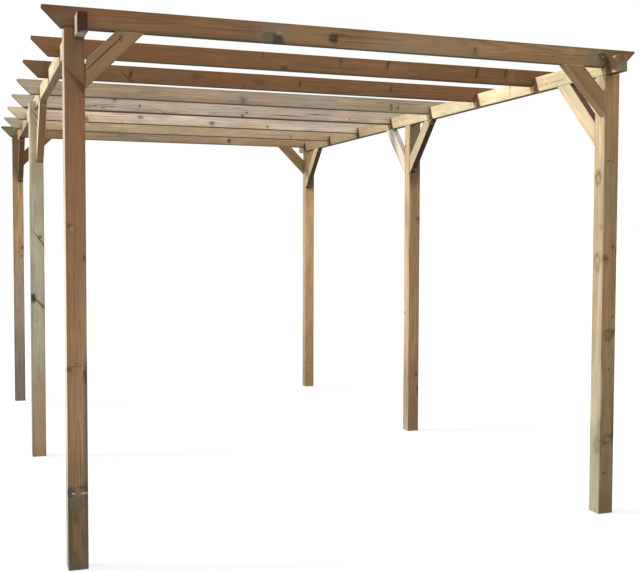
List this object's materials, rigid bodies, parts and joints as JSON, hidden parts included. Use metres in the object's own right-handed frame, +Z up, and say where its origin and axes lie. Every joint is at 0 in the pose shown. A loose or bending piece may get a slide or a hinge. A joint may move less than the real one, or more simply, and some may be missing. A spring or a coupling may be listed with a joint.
{
  "type": "timber carport frame",
  "caption": "Open timber carport frame with square posts, two side beams, rafters cross-halved over them with slanted ends, and knee braces.",
  "frame": {"origin": "on the ground, in the middle of the frame's width and length", "axes": "+X to the right across the width, +Y from the front to the rear, +Z up"},
  "size_m": [3.11, 5.3, 2.525],
  "materials": {
    "post_timber": "planed, pressure-treated softwood, weathered, matt",
    "beam_timber": "planed, pressure-treated softwood, matt",
    "rafter_timber": "planed, pressure-treated softwood, weathered, matt",
    "brace_timber": "planed, pressure-treated softwood, matt"
  },
  "bodies": {
    "root": {"post_front_left": "post_timber", "post_middle_left": "post_timber", "post_rear_left": "post_timber", "post_front_right": "post_timber", "post_middle_right": "post_timber", "post_rear_right": "post_timber", "side_beam_left": "beam_timber", "side_beam_right": "beam_timber", "rafter_1": "rafter_timber", "rafter_2": "rafter_timber", "rafter_3": "rafter_timber", "rafter_4": "rafter_timber", "rafter_5": "rafter_timber", "rafter_6": "rafter_timber", "rafter_7": "rafter_timber", "rafter_8": "rafter_timber", "rafter_brace_front_left": "brace_timber", "rafter_brace_rear_left": "brace_timber", "rafter_brace_front_right": "brace_timber", "rafter_brace_rear_right": "brace_timber", "beam_brace_left_1": "brace_timber", "beam_brace_left_2": "brace_timber", "beam_brace_left_3": "brace_timber", "beam_brace_left_4": "brace_timber", "beam_brace_right_1": "brace_timber", "beam_brace_right_2": "brace_timber", "beam_brace_right_3": "brace_timber", "beam_brace_right_4": "brace_timber"}
  },
  "joints": []
}
